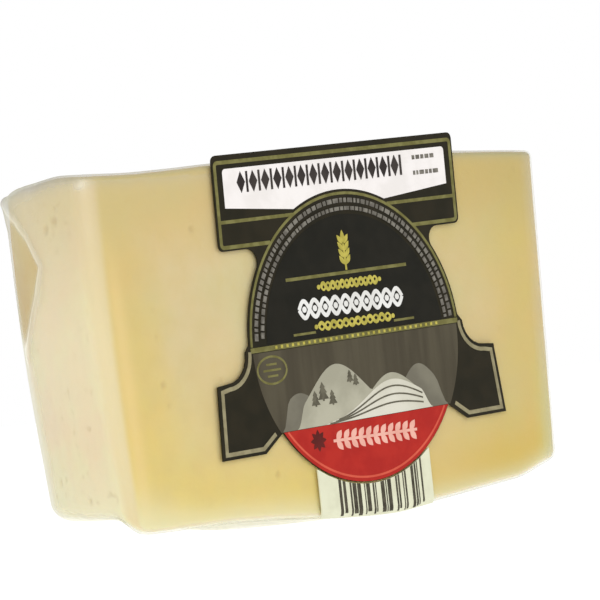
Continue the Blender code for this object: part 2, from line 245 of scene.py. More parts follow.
class Nodes:
    """The node tree of a material or the world, with short ways to add and join nodes."""

    def __init__(self, owner, output="ShaderNodeOutputMaterial"):
        owner.use_nodes = True
        self.owner = owner
        self.tree = owner.node_tree
        self.tree.nodes.clear()
        self.output = self.add(output)

    def add(self, kind, inputs=None, **settings):
        node = self.tree.nodes.new(kind)
        for name, value in settings.items():
            setattr(node, name, value)
        for name, value in (inputs or {}).items():
            self.put(node.inputs[name], value)
        return node

    def put(self, socket, value):
        if isinstance(value, bpy.types.NodeSocket):
            self.tree.links.new(value, socket)
        else:
            socket.default_value = value

    def noise(self, scale, detail=3.0, roughness=0.5, stretch=(1.0, 1.0, 1.0)):
        """Noise over the object's own coordinates, with scale in features per metre."""
        place = self.add("ShaderNodeTexCoord").outputs["Object"]
        mapping = self.add("ShaderNodeMapping", {"Vector": place, "Scale": stretch})
        made = self.add(
            "ShaderNodeTexNoise",
            {"Vector": mapping.outputs["Vector"], "Scale": scale, "Detail": detail, "Roughness": roughness},
        )
        return made.outputs["Fac"]

    def attribute(self, name):
        return self.add("ShaderNodeAttribute", attribute_name=name).outputs["Fac"]

    def math(self, operation, first, second=0.0, clamp=False):
        node = self.add("ShaderNodeMath", operation=operation, use_clamp=clamp)
        self.put(node.inputs[0], first)
        self.put(node.inputs[1], second)
        return node.outputs[0]

    def spread(self, value, low, high, to_low=0.0, to_high=1.0):
        """The value, with low to high stretched to to_low to to_high, smoothly and held at both ends."""
        node = self.add(
            "ShaderNodeMapRange",
            {"Value": value, "From Min": low, "From Max": high, "To Min": to_low, "To Max": to_high},
            interpolation_type="SMOOTHSTEP",
        )
        return node.outputs["Result"]

    def mix(self, share, first, second):
        """Two colours, each from a socket or as 0 to 255 values, with the given share of the second."""
        node = self.add("ShaderNodeMix", data_type="RGBA")
        self.put(node.inputs["Factor"], share)
        for socket, colour in ((node.inputs[6], first), (node.inputs[7], second)):
            self.put(socket, (*srgb(*colour), 1.0) if isinstance(colour, tuple) else colour)
        return node.outputs[2]

    def times(self, first, second):
        return self.math("MULTIPLY", first, second)

    def coated(self, base, *coats):
        """The base colour with each coat, given as (share, colour), laid over it in turn."""
        for share, colour in coats:
            base = self.mix(share, base, colour)
        return base

    def blend(self, share, first, second):
        """Two shaders, mixed with the given share of the second."""
        node = self.add("ShaderNodeMixShader", {"Fac": share})
        for k, shader in enumerate((first, second)):
            self.tree.links.new(shader.outputs[0], node.inputs[k + 1])
        return node

    def bump(self, height, depth, strength=1.0):
        node = self.add("ShaderNodeBump", {"Height": height, "Distance": depth, "Strength": strength})
        return node.outputs["Normal"]

    def finish(self, shader):
        self.tree.links.new(shader.outputs[0], self.output.inputs["Surface"])
        return self.owner

    def principled(self, inputs):
        return self.finish(self.add("ShaderNodeBsdfPrincipled", inputs))


# Shapes of the wheel

def arc(centre_a, centre_b, radius, start, end, steps):
    angles = [start + (end - start) * k / steps for k in range(steps + 1)]
    return [(centre_a + radius * cos(t), centre_b + radius * sin(t)) for t in angles]


def between(inner, outer, share):
    """The ring of points that lies between two others, at the given share of the way out."""
    return [(u + (x - u) * share, v + (y - v) * share) for (u, v), (x, y) in zip(inner, outer)]


def lip_level(x):
    """Height of the cut face's lower lip, which is lowest near the middle."""
    left = LIP_RISE_LEFT * smooth_step((LIP_LOW_LEFT_X - x) / LIP_RISE_WIDTH)
    right = LIP_SLOPE_RIGHT * max(0.0, x - LIP_LOW_RIGHT_X)
    corners = LIP_CORNER_RISE * smooth_step((x - LIP_CORNER_X) / LIP_CORNER_WIDTH)
    corners += LIP_LEFT_CORNER_RISE * smooth_step((LIP_LEFT_CORNER_X - x) / LIP_LEFT_CORNER_WIDTH)
    return left + right + corners


def base_level(x, y):
    """Height of the underside: flat where it rests, domed up to the rim, low again at the cut."""
    out = hypot(x - REST_X, y - REST_Y) - REST_RADIUS
    dome = DOME_HEIGHT * smooth_step(out / DOME_REACH)
    inland = smooth_step((x - LIP_END_X) / LIP_END_WIDTH)
    reach = LIP_REACH_AT_LEFT_END + (LIP_REACH - LIP_REACH_AT_LEFT_END) * inland
    near_cut = exp(-((y / reach) ** 2))
    return dome + (lip_level(x) - dome) * near_cut if out > 0.0 else 0.0


def top_level(x, y):
    """Height of the top, slightly crowned towards the wheel's axis, with soft dips and a rise."""
    share = min(1.0, hypot(x, y) / TOP_RADIUS)
    sag = 0.0
    for spot_x, spot_y, reach_x, reach_y, drop in TOP_SPOTS:
        sag += drop * exp(-(((x - spot_x) / reach_x) ** 2) - ((y - spot_y) / reach_y) ** 2)
    return RIM_HEIGHT + TOP_CROWN * (1.0 - share**2) - sag


def side_radius(level):
    return BASE_RADIUS + (TOP_RADIUS - BASE_RADIUS) * level


@dataclass
class Wheel:
    """The half wheel's surface as rings of points, at a given fineness."""
    face_steps: int
    edge_steps: int
    back_steps: int
    left_steps: int
    side_steps: int
    cap_rings: int

    def half_disc(self, radius, side_inset, face_inset, level):
        """The outline at one height, each point with its share of the cut face."""
        outer = radius - side_inset
        left = LEFT_EDGE_ROUNDING_BASE + (LEFT_EDGE_ROUNDING_TOP - LEFT_EDGE_ROUNDING_BASE) * level
        left = max(LEAST_ROUNDING, left - side_inset)
        right = max(LEAST_ROUNDING, RIGHT_EDGE_ROUNDING - side_inset)
        left_x = -sqrt((outer - left) ** 2 - (face_inset + left) ** 2)
        right_x = sqrt((outer - right) ** 2 - (face_inset + right) ** 2)
        right_turn = atan2(face_inset + right, right_x)
        left_turn = atan2(face_inset + left, left_x)
        steps = self.face_steps
        face = [(left_x + (right_x - left_x) * k / steps, face_inset) for k in range(steps)]
        edge = self.edge_steps
        right_edge = arc(right_x, face_inset + right, right, -pi / 2, right_turn, edge)[:-1]
        back = arc(0.0, 0.0, outer, right_turn, EAR_ANGLE, self.back_steps)[:-1]
        side = arc(0.0, 0.0, outer, EAR_ANGLE, left_turn, self.left_steps)[:-1]
        left_edge = arc(left_x, face_inset + left, left, left_turn, 1.5 * pi, edge)[:-1]
        points = [(x, y, 1.0) for x, y in face]
        points += [(x, y, 1.0 - k / edge) for k, (x, y) in enumerate(right_edge)]
        points += [(x, y, 0.0) for x, y in back + side]
        points += [(x, y, k / edge) for k, (x, y) in enumerate(left_edge)]
        return points

    def cap(self, outline, middle_x, middle_y, spot_radius, height_at):
        """Rings from near the middle over a round spot out to the outline."""
        outer = [(x, y) for x, y, _ in outline]
        middle = [(middle_x, middle_y)] * len(outer)
        turns = [atan2(y - middle_y, x - middle_x) for x, y in outer]
        spot = [(middle_x + spot_radius * cos(t), middle_y + spot_radius * sin(t)) for t in turns]
        rings = [between(middle, spot, k / 4) for k in range(1, 4)]
        rings += [between(spot, outer, 1.0 - (1.0 - k / self.cap_rings) ** 2) for k in range(self.cap_rings)]
        return [[(x, y, height_at(x, y), 0.0) for x, y in ring] for ring in rings]

    def base_edge(self, turn):
        inward = 1.0 - sin(turn)
        upward = 1.0 - cos(turn)
        ring = []
        for x, y, face in self.half_disc(BASE_RADIUS, SIDE_ROUNDING * inward, LIP_ROUNDING * inward, 0.0):
            rounding = SIDE_ROUNDING + (LIP_ROUNDING - SIDE_ROUNDING) * face
            ring.append((x, y, base_level(x, y) + rounding * upward, face * sin(turn) ** 4))
        return ring

    def side_ring(self, level):
        ring = []
        for x, y, face in self.half_disc(side_radius(level), 0.0, 0.0, level):
            bottom = base_level(x, y) + SIDE_ROUNDING + (LIP_ROUNDING - SIDE_ROUNDING) * face
            top = top_level(x, y) - TOP_ROUNDING
            ring.append((x, y, bottom + (top - bottom) * level, face))
        return ring

    def top_edge(self, turn):
        inset = TOP_ROUNDING * (1.0 - cos(turn))
        drop = TOP_ROUNDING * (1.0 - sin(turn))
        outline = self.half_disc(TOP_RADIUS, inset, inset, 1.0)
        return [(x, y, top_level(x, y) - drop, face * cos(turn)) for x, y, face in outline]

    def rings(self):
        low = self.half_disc(BASE_RADIUS, SIDE_ROUNDING, LIP_ROUNDING, 0.0)
        high = self.half_disc(TOP_RADIUS, TOP_ROUNDING, TOP_ROUNDING, 1.0)
        steps = self.edge_steps
        made = self.cap(low, REST_X, REST_Y, REST_RADIUS, base_level)
        made += [self.base_edge(pi / 2 * k / steps) for k in range(steps)]
        made += [self.side_ring(k / self.side_steps) for k in range(self.side_steps + 1)]
        made += [self.top_edge(pi / 2 * k / steps) for k in range(1, steps + 1)]
        made += reversed(self.cap(high, 0.0, TOP_MIDDLE_Y, TOP_SPOT_RADIUS, top_level))
        return made

    def mesh(self, name, ear_share):
        """The closed mesh, in the wheel's own frame, and each point's share of the cut face."""
        rings = self.rings()
        count = len(rings[0])
        points = [p for ring in rings for p in ring]
        last = (len(rings) - 1) * count
        bottom = len(points)
        points.append((REST_X, REST_Y, base_level(REST_X, REST_Y), 0.0))
        points.append((0.0, TOP_MIDDLE_Y, top_level(0.0, TOP_MIDDLE_Y), 0.0))
        sides = [(i, (i + 1) % count) for i in range(count)]
        faces = []
        for low in range(0, last, count):
            faces += [(low + i, low + j, low + count + j, low + count + i) for i, j in sides]
        for i, j in sides:
            faces += [(bottom, j, i), (bottom + 1, last + i, last + j)]
        mesh = bpy.data.meshes.new(name)
        mesh.from_pydata([swollen(*p[:3], ear_share) for p in points], [], faces)
        mesh.update()
        return mesh, np.array([p[3] for p in points])


def ear(x, y, z):
    turn = abs(atan2(y, x) - EAR_ANGLE) / EAR_SPREAD
    drop = (RIM_HEIGHT - z) / EAR_DROP
    return EAR_REACH * max(0.0, 1.0 - turn) * max(0.0, 1.0 - abs(drop))


def bulge(x, y, z):
    """How far the side swells out: halfway up on the left, and from top to base on the right."""
    out = hypot(x, y) / TOP_RADIUS
    leftness = 0.5 * (1.0 - x / TOP_RADIUS)
    height = max(0.0, sin(pi * z / RIM_HEIGHT))
    right_swell = RIGHT_SWELL_BASE + (RIGHT_SWELL_TOP - RIGHT_SWELL_BASE) * z / RIM_HEIGHT
    return (SIDE_BULGE * leftness * height + right_swell * smooth_step(x / TOP_RADIUS)) * out**4


def swollen(x, y, z, ear_share):
    """The point, moved out from the wheel's axis by the bulge and a share of the ear."""
    out = 1.0 + (ear_share * ear(x, y, z) + bulge(x, y, z)) / max(hypot(x, y), LEAST_REACH)
    return (x * out, y * out, z)


def mesh_arrays(mesh):
    """The mesh's points and their normals."""
    found = []
    for source, field in ((mesh.vertices, "co"), (mesh.vertex_normals, "vector")):
        values = np.empty(len(source) * 3, np.float32)
        source.foreach_get(field, values)
        found.append(values.reshape(-1, 3).astype(float))
    return found


def put_attributes(mesh, attributes):
    for name, values in attributes.items():
        layer = mesh.attributes.new(name, "FLOAT", "POINT")
        layer.data.foreach_set("value", np.asarray(values, np.float32))


def noise_over(places, size, seed):
    """Smooth noise from about -1 to 1 at each point, with features of the given size in metres."""
    shift = Vector((seed * 7.1, seed * 3.3, seed * 5.7))
    return np.array([noise.noise(Vector(p) / size + shift) for p in places])


def unrolled(places):
    """The side and the top laid flat: the way round the rim, and down from it, less than 0 on the top."""
    x, y, z = places.T
    along = np.arctan2(y, x) * TOP_RADIUS
    down = np.where(RIM_HEIGHT - z > TOP_ROUNDING, RIM_HEIGHT - z, np.hypot(x, y) - TOP_RADIUS)
    return along, down


def ear_nearness(along, down, spread, drop):
    """1 at the ear's middle, less and less away from it."""
    return bell(along / TOP_RADIUS - EAR_ANGLE, spread) * bell(down, drop)


def smooth(values):
    held = np.clip(values, 0.0, 1.0)
    return held * held * (3.0 - 2.0 * held)


def bell(values, width):
    """1 where a value is 0, less and less away from it, and about a third at the width."""
    return np.exp(-((values / width) ** 2))


def heights_over(places, level):
    """How high each point lies over the base_level or the top_level."""
    return np.array([z - level(x, y) for x, y, z in places])


def placed(name, data):
    thing = bpy.data.objects.new(name, data)
    bpy.context.scene.collection.objects.link(thing)
    return thing


def piece(name, mesh, material):
    thing = placed(name, mesh)
    mesh.materials.append(material)
    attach(thing, "root")
    return thing


def wrapped_piece(name, mesh, places, material):
    """The cheese or its film, moved from the wheel's own frame into the model's."""
    mesh.vertices.foreach_set("co", (places + (AXIS_X, CUT_Y, 0.0)).astype(np.float32).ravel())
    mesh.update()
    mesh.shade_smooth()
    thing = piece(name, mesh, material)
    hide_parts("wrapped_cheese")


# The cheese

def dents(places, centres, radii, depths):
    """How deep round dents reach at each point."""
    depth = np.zeros(len(places))
    for centre, radius, deep in zip(centres, radii, depths):
        away = np.linalg.norm(places - np.array(centre), axis=1)
        depth = np.maximum(depth, deep * smooth(1.2 - away / radius))
    return depth


def on_the_side(degrees, z):
    """A place on the wheel's side, from its turn and its height in millimetres."""
    turn = radians(degrees)
    reach = side_radius(z * MM / RIM_HEIGHT)
    return (reach * cos(turn), reach * sin(turn), z * MM)


def cheese_holes():
    """Places, radii and depths of the small eyes in the paste and of the pits in the rind."""
    draw = random.Random(11)

    def pit(place):
        return place, draw.uniform(0.5, 1.1) * MM, draw.uniform(0.12, 0.4) * MM

    holes = []
    for _ in range(EYES):
        place = (draw.uniform(-0.9, 0.92) * TOP_RADIUS, FILM_GAP, draw.uniform(0.08, 0.95) * RIM_HEIGHT)
        holes.append((place, draw.uniform(0.4, 0.75) * MM, draw.uniform(0.12, 0.3) * MM))
    for x, z in LARGE_EYES:
        holes.append(((x * MM, FILM_GAP, z * MM), 1.0 * MM, 0.32 * MM))
    for degrees, z in LARGE_PITS:
        holes.append((on_the_side(degrees, z), 1.3 * MM, 0.4 * MM))
    for _ in range(SIDE_PITS):
        holes.append(pit(on_the_side(draw.uniform(9.0, 171.0), draw.uniform(9.0, 72.0))))
    for _ in range(TOP_PITS):
        turn = draw.uniform(0.08, 0.92) * pi
        reach = sqrt(draw.uniform(0.02, 0.92)) * TOP_RADIUS
        x, y = reach * cos(turn), reach * sin(turn)
        holes.append(pit((x, y, top_level(x, y))))
    return zip(*holes)


def paste_colour(nodes, up, across):
    """Golden near the edges and paler inward, deeper low on the right; duller high up as painted shade, and
    pale at the foot as painted light from the floor.
    """
    drift = nodes.spread(nodes.noise(45.0, 4.0), 0.3, 0.7, -4.0, 4.0)
    inward = nodes.math("ADD", nodes.attribute("inward"), drift)
    golden = nodes.mix(nodes.spread(up, 0.0, 0.9), (225, 198, 102), (208, 182, 114))
    golden = nodes.mix(nodes.spread(across, 0.3, 1.0), golden, (204, 178, 98))
    middle = nodes.mix(nodes.spread(up, 0.1, 0.6), (214, 198, 126), (206, 192, 148))
    middle = nodes.mix(nodes.spread(across, 0.4, 1.0), middle, (201, 185, 130))
    pinkish = nodes.spread(nodes.noise(42.0, 3.0), 0.35, 0.65)
    left = nodes.spread(across, 0.5, 0.7, 1.0, 0.0)
    right = nodes.spread(across, 0.6, 0.95)
    right_edge = nodes.spread(across, 0.93, 0.98)
    # Painted light from the white floor: the pale tone at the foot
    foot = nodes.mix(nodes.spread(across, 0.3, 0.9), (225, 219, 172), (213, 207, 158))
    return nodes.coated(
        nodes.mix(nodes.spread(inward, 4.0, 24.0), golden, middle),
        (0.3, nodes.mix(pinkish, (200, 192, 132), (220, 186, 132))),
        (nodes.spread(nodes.noise(160.0, 5.0, 0.6), 0.35, 0.7, 0.0, 0.3), (200, 178, 118)),
        (nodes.times(right, nodes.spread(up, 0.08, 0.3, 0.7, 0.0)), (205, 175, 66)),
        (nodes.times(right_edge, nodes.spread(up, 0.15, 0.6, 0.8, 0.0)), (200, 194, 112)),
        # Painted shade: darker high up on the right and on the left
        (nodes.times(right, nodes.spread(up, 0.7, 0.95, 0.0, 0.7)), (188, 168, 104)),
        (nodes.times(left, nodes.spread(up, 0.68, 1.0, 0.0, 0.42)), (193, 176, 128)),
        (nodes.attribute("warm"), (232, 204, 140)),
        (nodes.attribute("foot"), foot),
    )


def rind_colour(nodes, up):
    """Pale beige in drifting tones with specks; duller near the top as painted shade, paler near the base as
    painted light from the floor, and darker where the film is tight: its wet look and painted shade.
    """
    pinkish = nodes.spread(nodes.noise(75.0, 5.0, 0.6), 0.35, 0.65)
    browner = nodes.spread(nodes.noise(60.0, 4.0), 0.3, 0.7)
    return nodes.coated(
        nodes.mix(pinkish, (223, 212, 167), (227, 204, 166)),
        (nodes.spread(nodes.noise(24.0, 2.0), 0.4, 0.7, 0.0, 0.5), (226, 219, 177)),
        # Painted shade towards the top, and painted light from the white floor near the base
        (nodes.spread(up, 0.55, 1.0, 0.0, 0.8), (202, 183, 134)),
        (nodes.spread(up, 0.05, 0.3, 0.8, 0.0), (226, 224, 182)),
        # Darker and browner where the film lies tight: partly the wet look of pressed film, partly painted
        # shade for the sheen the film lacks there
        (nodes.attribute("tight"), nodes.mix(browner, (196, 176, 114), (190, 160, 96))),
        (nodes.spread(nodes.noise(420.0, 2.0), 0.62, 0.75, 0.0, 0.3), (182, 156, 108)),
    )


def cheese_material():
    """The rind, the paste on the cut, and painted light and shade: darker towards the top of the rounded
    edges, under the top rim and in the eyes and pits, and near white at the lip's foot.
    """
    nodes = Nodes(bpy.data.materials.new("pale_golden_cheese"))
    up, across, cut = (nodes.attribute(name) for name in ("up", "across", "cut"))
    # The rounded edges' tone, painted darker towards the top as shade
    rounded = nodes.mix(nodes.spread(up, 0.5, 1.0), (217, 201, 154), (206, 187, 142))
    colour = nodes.coated(
        rind_colour(nodes, up),
        (nodes.spread(cut, 0.05, 0.5), rounded),
        (nodes.spread(cut, 0.72, 0.97), paste_colour(nodes, up, across)),
        # Painted shade under the top rim and in the eyes and pits, and painted light from the floor at the
        # lip's foot
        (nodes.attribute("top_edge_shade"), (176, 168, 124)),
        (nodes.attribute("lip"), (248, 245, 228)),
        (nodes.attribute("hollow_shade"), (176, 148, 94)),
    )
    grain = nodes.math("ADD", nodes.noise(900.0, 3.0), nodes.noise(260.0, 2.0))
    return nodes.principled({
        "Base Color": colour,
        "Roughness": nodes.spread(nodes.noise(300.0, 3.0), 0.3, 0.7, 0.48, 0.62),
        "Specular IOR Level": 0.15,
        "Subsurface Weight": 0.2,
        "Subsurface Radius": (1.0, 0.7, 0.35),
        "Subsurface Scale": 2.5 * MM,
        "Normal": nodes.bump(grain, 0.12 * MM, 0.6),
    })


def make_cheese():
    wheel = Wheel(face_steps=260, edge_steps=9, back_steps=140, left_steps=90, side_steps=140, cap_rings=26)
    mesh, cut = wheel.mesh("cheese", ear_share=0.0)
    places, normals = mesh_arrays(mesh)
    x, _, z = places.T
    along, down = unrolled(places)
    holes = dents(places, *cheese_holes())
    near_ear = ear_nearness(along, down, 2.2 * EAR_SPREAD, 1.2 * EAR_DROP)
    _, behind = fold_distance(along, z)
    reach = side_radius(np.clip(z / RIM_HEIGHT, 0.0, 1.0))
    low = heights_over(places, base_level)
    below_top = -heights_over(places, top_level)
    left_end = smooth((-40 * MM - x) / (22 * MM))
    right_end = smooth((x - 5 * MM) / (45 * MM))
    foot_light_reach = (4.0 + 3.2 * left_end - 0.9 * right_end) * MM
    # Painted shade: a darker band just under the top rim, stronger towards the right
    top_edge_shade = smooth(below_top / (0.5 * MM)) * bell(below_top, 1.8 * MM)
    warm = bell(reach + x - LEFT_EDGE_ROUNDING_TOP, 2.0 * MM) * smooth((0.9 - z / RIM_HEIGHT) / 0.3)
    put_attributes(mesh, {
        "cut": cut,
        "inward": np.minimum.reduce([reach - np.abs(x), RIM_HEIGHT - z, z]) / MM,
        "up": z / RIM_HEIGHT,
        "across": 0.5 + 0.5 * x / TOP_RADIUS,
        # Painted light from the white floor: a pale band up from the base
        "foot": (0.85 + 0.1 * left_end) * bell(low, foot_light_reach),
        # Painted light from the floor: near white over the lowest millimetre and the underside
        "lip": 0.54 * bell(low, 1.0 * MM),
        "top_edge_shade": top_edge_shade * (0.55 + 0.45 * smooth(x / (40 * MM))),
        "warm": 0.5 * warm * (cut > 0.5),
        # Painted shade behind the fold, where the film lies tight, partly its wet look
        "tight": fold_panel(along, behind, z) * (cut < 0.5),
        # Painted shade in the eyes and pits
        "hollow_shade": np.clip(0.35 * holes / (0.3 * MM), 0, 0.5),
    })
    rough = 0.14 * MM * noise_over(places, 15 * MM, 1) + 0.05 * MM * noise_over(places, 4 * MM, 2)
    sink = FILM_GAP + SIDE_GAP * (1 - cut) + EAR_HOLLOW * near_ear + holes
    lift = rough * (0.4 + 0.6 * (1 - cut)) - sink
    wrapped_piece("cheese", mesh, places + normals * lift[:, None], cheese_material())


# The film

def way_round(bends, z):
    """How far round the rim a line lies at each height; the line's bends are given from the top down."""
    turns, heights = zip(*reversed(bends))
    return np.interp(z, heights, np.radians(turns) * TOP_RADIUS)


def fold_distance(along, z):
    """How far each point of the side is from the fold's line, and how far it lies behind it."""
    away = np.full(len(along), 1.0)
    bends = [(radians(degrees) * TOP_RADIUS, height) for degrees, height in FOLD]
    for (s0, z0), (s1, z1) in zip(bends, bends[1:]):
        length = hypot(s1 - s0, z1 - z0)
        share = np.clip(((along - s0) * (s1 - s0) + (z - z0) * (z1 - z0)) / length**2, 0, 1)
        away = np.minimum(away, np.hypot(along - s0 - share * (s1 - s0), z - z0 - share * (z1 - z0)))
    within = (z > FOLD[-1][1]) & (z < FOLD[0][1])
    return away, np.where(within, way_round(FOLD, z) - along, -1.0)


def fold_panel(along, behind, z):
    """1 on the panel behind the fold, where the film lies tight on the rind; its back edge is soft."""
    from_back = along - way_round(FOLD_BACK, z)
    return smooth(behind / FOLD_PANEL_FRONT) * smooth(from_back / FOLD_PANEL_BACK)


def pleat_lines(along, down):
    """Lines that run out from the ear's tip over the side and the top, and fade along their length."""
    tip = radians(FOLD[0][0]) * TOP_RADIUS
    lines = np.zeros(len(along))
    for degrees, length, strength in PLEATS:
        s, d = sin(radians(degrees)), cos(radians(degrees))
        share = np.clip(((along - tip) * s + down * d) / length, 0, 1)
        away = np.hypot(along - tip - share * length * s, down - share * length * d)
        lines = np.maximum(lines, strength * (1 - share) * bell(away, PLEAT_HALF_WIDTH))
    return lines


def film_material():
    """Clear film: see-through, with a milky sheen whose strength and tone are worked out point by point."""
    nodes = Nodes(bpy.data.materials.new("clear_film"))
    facing = nodes.add("ShaderNodeLayerWeight", {"Blend": 0.5}).outputs["Facing"]
    grazing = nodes.times(nodes.math("POWER", facing, 4.0), 0.45)
    cloud = nodes.spread(nodes.noise(70.0, 4.0), 0.2, 0.8, 0.75, 1.25)
    streaks = nodes.spread(nodes.noise(150.0, 3.0, 0.5, (1.0, 1.0, 0.3)), 0.25, 0.75, 0.85, 1.15)
    veil = nodes.times(nodes.times(nodes.attribute("veil"), cloud), streaks)
    stands_off = nodes.times(nodes.spread(facing, 0.74, 0.95, 0.0, 0.45), nodes.attribute("stands_off"))
    share = nodes.math("ADD", nodes.math("ADD", veil, grazing), stands_off, clamp=True)
    tone = nodes.coated(
        (245, 243, 228),
        (nodes.attribute("dull"), (212, 209, 201)),
        (nodes.times(nodes.spread(facing, 0.62, 0.85), nodes.attribute("greyed")), (216, 215, 199)),
    )
    wrinkles = nodes.math("ADD", nodes.noise(90.0, 3.0, 0.5, (1.0, 1.0, 0.5)), nodes.noise(260.0, 2.0))
    normal = nodes.bump(wrinkles, 0.25 * MM, 0.3)
    gloss = nodes.add("ShaderNodeBsdfGlossy", {"Color": tone, "Roughness": 0.34, "Normal": normal})
    milk = nodes.add("ShaderNodeBsdfDiffuse", {"Color": tone, "Normal": normal})
    clear = nodes.add("ShaderNodeBsdfTransparent", {"Color": WHITE})
    return nodes.finish(nodes.blend(share, clear, nodes.blend(0.5, gloss, milk)))


def make_film():
    wheel = Wheel(face_steps=70, edge_steps=10, back_steps=130, left_steps=180, side_steps=170, cap_rings=26)
    mesh, cut = wheel.mesh("film", ear_share=1.0)
    places, normals = mesh_arrays(mesh)
    x, y, z = places.T
    along, down = unrolled(places)
    low = heights_over(places, base_level)
    side = smooth((np.hypot(x, y) - 0.9 * BASE_RADIUS) / (0.05 * BASE_RADIUS)) * (cut < 0.5)
    away, behind = fold_distance(along, z)
    widening = smooth((FOLD_BEND - z) / (6 * MM))
    # The fold's ridge: a raised crease, made milkier as a painted highlight along it
    fold_ridge_and_highlight = bell(away, FOLD_HALF_WIDTH + (FOLD_LOW_HALF_WIDTH - FOLD_HALF_WIDTH) * widening) * side
    panel = fold_panel(along, behind, z) * side
    pleats = pleat_lines(along, down) * (cut < 0.5)
    ear_near = ear_nearness(along, down, 1.6 * EAR_SPREAD, 0.8 * EAR_DROP)
    left_rim = bell(down, LEFT_RIM_WIDTH) * bell(along / TOP_RADIUS - LEFT_RIM_ANGLE, LEFT_RIM_SPREAD)
    right_band = bell(side_radius(z / RIM_HEIGHT) - x, RIGHT_BAND_WIDTH) * (cut > 0.5)
    # Milky film over the underside away from the cut: painted light, to whiten its shade
    underside = bell(low, UNDERSIDE_LIGHT_WIDTH) * smooth((y - 2.5 * MM) / (3 * MM))
    from_glint = np.hypot(along - GLINT_ANGLE * TOP_RADIUS, down - (RIM_HEIGHT - GLINT_HEIGHT))
    on_side = (1 - cut) * (1 - panel)
    # Painted highlight: a little more veil over the rounded left edge
    left_edge = 4 * cut * (1 - cut) * (x < 0)
    # Painted highlights on the rounded left edge, the fold's ridge and the glint; painted reflection of the
    # floor at the foot
    veil = 0.03 + 0.09 * on_side + 0.02 * left_edge + 0.3 * right_band + 0.07 * bell(low, FOOT_SHEEN_WIDTH)
    veil += 0.3 * underside + 0.28 * fold_ridge_and_highlight + 0.24 * pleats + 0.2 * bell(from_glint, GLINT_WIDTH)
    veil += 0.34 * ear_near + 0.4 * left_rim
    towards_left = smooth((-25 * MM - x) / (20 * MM))
    stands_off = towards_left * on_side * smooth((62 * MM - z) / (12 * MM))
    put_attributes(mesh, {
        "veil": np.clip(veil, 0, 1),
        "stands_off": stands_off,
        "greyed": np.clip(1 - underside - fold_ridge_and_highlight - 0.6 * stands_off, 0, 1),
        "dull": np.clip(ear_near + left_rim + 0.3 * right_band, 0, 1),
    })
    around = np.stack([along, 0.12 * down, np.zeros(len(along))], 1)
    puckers = noise_over(around, 3.2 * MM, 9) * (1 - cut)
    gathered = bell(low - 2 * MM, 4 * MM) + 0.6 * bell(down, 3 * MM)
    ripple = noise_over(places, 9 * MM, 5) * (1 - 0.7 * cut)
    lift = 0.06 * MM * (ripple + puckers * gathered)
    lift += FOLD_HEIGHT * fold_ridge_and_highlight - FOLD_PANEL_SINK * panel + PLEAT_HEIGHT * pleats
    wrapped_piece("film", mesh, places + normals * lift[:, None], film_material())


# Print on the label: outlines in the label's own frame, from the middle of its round part

def paper_material(name, colour, other, size=220.0, stretch=(1.0, 1.0, 1.0)):
    """Printed paper: two close tones that run into each other, with a faint grain."""
    nodes = Nodes(bpy.data.materials.new(name))
    tone = nodes.spread(nodes.noise(size, 3.0, 0.5, stretch), 0.35, 0.65)
    return nodes.principled({
        "Base Color": nodes.mix(tone, colour, other),
        "Roughness": nodes.spread(nodes.noise(size * 4, 2.0), 0.3, 0.7, 0.4, 0.52),
        "Specular IOR Level": 0.12,
        "Normal": nodes.bump(nodes.noise(3000.0, 2.0), 0.01 * MM, 0.5),
    })


@cache
def ink(name):
    """The label's material of this name, made when it is first asked for."""
    return paper_material(f"label_{name}", *INKS[name])


def cover(node, material):
    """Gives a flat sheet of the model its material."""
    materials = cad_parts[node].data.materials
    materials.clear()
    materials.append(material)


def mesh_of(form, name, place, triangles=False):
    """The closed form as a mesh, with its faces turned outward, moved to its place."""
    bmesh.ops.recalc_face_normals(form, faces=form.faces)
    if triangles:
        bmesh.ops.triangulate(form, faces=form.faces)
    mesh = bpy.data.meshes.new(name)
    form.to_mesh(mesh)
    form.free()
    mesh.transform(place)
    return mesh


def print_field(name, outlines, level, tone):
    """One colour of the print: each outline becomes a thin slab that stands level inks high."""
    form = bmesh.new()
    for k, outline in enumerate(outlines):
        front = -LABEL_THICKNESS - level * INK - k * OVERLAP_STEP
        face = form.faces.new([form.verts.new((a, front, b)) for a, b in outline])
        moved = bmesh.ops.extrude_face_region(form, geom=[face])["geom"]
        sunk = [item for item in moved if isinstance(item, bmesh.types.BMVert)]
        bmesh.ops.translate(form, verts=sunk, vec=(0.0, INK / 2 - LABEL_THICKNESS - front, 0.0))
    turn = Matrix.Rotation(-LABEL_TURN, 4, "Y")
    place = Matrix.Translation((AXIS_X + LABEL_X, CUT_Y - LABEL_GAP, LABEL_Z)) @ turn
    mesh = mesh_of(form, f"label_{name}", place, triangles=True)
    piece(f"label_{name}", mesh, ink(tone))


def box(a0, b0, a1, b1):
    return scaled([(a0, b0), (a1, b0), (a1, b1), (a0, b1)])


def oval(a, b, half_wide, half_high, sides=20):
    turns = [2 * pi * k / sides for k in range(sides)]
    return scaled([(a + half_wide * cos(t), b + half_high * sin(t)) for t in turns])


def lozenge(a, b, half_wide, half_high):
    return scaled([(a - half_wide, b), (a, b - half_high), (a + half_wide, b), (a, b + half_high)])


def leaf(a, b, length, width, degrees, steps=7):
    """A pointed leaf that starts at a, b and grows in the given direction."""
    turn = radians(degrees)
    side = [(length * k / steps, width / 2 * sin(pi * k / steps)) for k in range(steps + 1)]
    around = side + [(s, -w) for s, w in reversed(side[1:-1])]
    along_a, along_b = cos(turn), sin(turn)
    return scaled([(a + s * along_a - w * along_b, b + s * along_b + w * along_a) for s, w in around])


def band(inner, outer, start, end, steps=48):
    """Part of a ring between two radii, with angles in degrees."""
    start, end = radians(start), radians(end)
    return scaled(arc(0, 0, outer, start, end, steps) + arc(0, 0, inner, end, start, steps))


